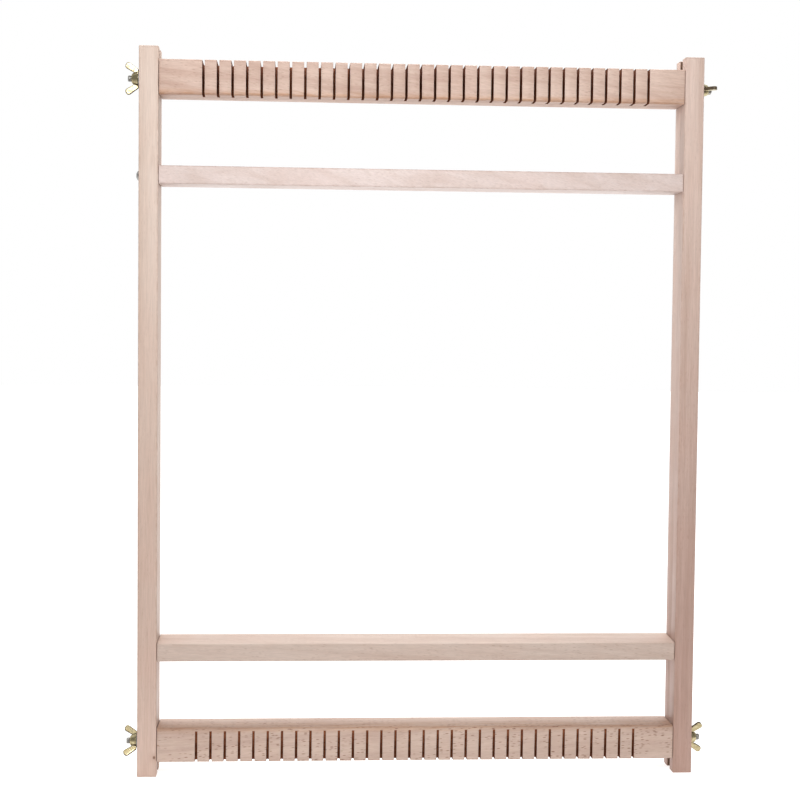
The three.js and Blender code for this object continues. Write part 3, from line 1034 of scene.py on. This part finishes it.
def stage():
    reach = BACKDROP_RADIUS
    floor = paint(floor_sheet("floor", reach, 0), floor_material("pale_floor", *FLOOR_GLOW_DEPTHS))
    near = floor_sheet("floor_front", FLOOR_FRONT_EDGE, FLOOR_FRONT_HEIGHT)
    paint(near, floor_material("pale_floor_front", -reach, 1 - reach))
    near.visible_diffuse = False
    near.visible_glossy = False
    near.visible_transmission = False
    near.visible_shadow = False
    white = glow_material("white_backdrop", BACKDROP_GLOW)
    backdrop = paint(half_dome("backdrop", 1), white)
    backdrop.visible_shadow = False
    front = paint(half_dome("room_front", -1), white)
    front.visible_diffuse = False
    front.visible_glossy = False
    front.visible_transmission = False
    front.visible_shadow = False


def area_light(name, place, target, size, power, colour=(1, 1, 1)):
    data = bpy.data.lights.new(name, "AREA")
    data.shape = "DISK"
    data.size = size
    data.energy = power
    data.color = colour
    lamp = bpy.data.objects.new(name, data)
    lamp.location = place
    lamp.rotation_euler = (Vector(target) - Vector(place)).to_track_quat("-Z", "Y").to_euler()
    bpy.context.scene.collection.objects.link(lamp)


def lights():
    scene = bpy.context.scene
    world = bpy.data.worlds.new("studio")
    world.use_nodes = True
    sky = world.node_tree.nodes["Background"]
    sky.inputs["Color"].default_value = (1.0, 1.0, 1.0, 1)
    sky.inputs["Strength"].default_value = ROOM_TONE
    scene.world = world
    scene.view_settings.view_transform = "Standard"
    area_light("key", KEY_PLACE, KEY_AIM, KEY_SIZE, KEY_POWER)
    area_light("top", TOP_PLACE, (0, 0, 0), TOP_SIZE, TOP_POWER)


# ---------------------------------------------------------------- assembly

camera()
stage()
lights()

kerf_shade_wall = cut_wall_shade("kerf_painted_shade", *KERF_SHADE_WALL)
slot_shade_wall = cut_wall_shade("slot_painted_shade", *SLOT_SHADE_WALL)
kerfs = kerf_tree()
threads = thread_tree()

left_low, left_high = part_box("left_rail")
knot = (left_high.x - KNOT_INSET, left_low.y, left_low.z + KNOT_HEIGHT)
rail("left_rail", beech("left_rail", knot=knot), slot_shade_wall)
rail("right_rail", beech("right_rail"), slot_shade_wall)

bar_low, bar_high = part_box("top_notched_bar")
top_tint = {
    "front": bar_low.y,
    "back": bar_low.y + 8 * MM,
    "height": bar_low.z,
    "reach": 7 * MM,
    "strength": 0.9,
}
notched_bar("top_notched_bar", kerfs, TOP_KERF, beech("top_notched_bar", warm_edge=top_tint), kerf_shade_wall)
bar_low, bar_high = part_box("bottom_notched_bar")
bottom_tint = {
    "front": bar_low.y + 4 * MM,
    "back": bar_high.y - 8 * MM,
    "height": bar_high.z,
    "reach": 6 * MM,
    "strength": 0.8,
}
notched_bar("bottom_notched_bar", kerfs, BOTTOM_KERF,
    beech("bottom_notched_bar", warm_edge=bottom_tint), kerf_shade_wall)

crossbar("upper_crossbar", beech("upper_crossbar"))
crossbar("lower_crossbar", beech("lower_crossbar"), tilt=LOWER_CROSSBAR_TILT)

washer_zinc = plated_steel("washer_zinc", *WASHER_ZINC)
yellow_zinc = plated_steel("yellow_zinc", *YELLOW_ZINC)
painted_dark_rim = plated_steel("painted_dark_rim", *PAINTED_RIM_DARK, metal=0.35)
screw_steel = plated_steel("screw_steel", *SCREW_STEEL)
for corner, turn in NUT_TURNS.items():
    low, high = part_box(f"{corner}_stud")
    middle = (low.z + high.z) / 2
    thread_zinc = plated_steel(f"{corner}_thread_zinc", *THREAD_ZINC, axis_height=middle)
    stud(f"{corner}_stud", threads, thread_zinc)
    washer(f"{corner}_washer", washer_zinc)
    wing_nut(f"{corner}_wing_nut", yellow_zinc, painted_dark_rim, turn)

for level, round_head in (("upper", True), ("lower", False)):
    for side in ("left", "right"):
        screw(f"{level}_{side}_crossbar_screw", screw_steel, round_head)
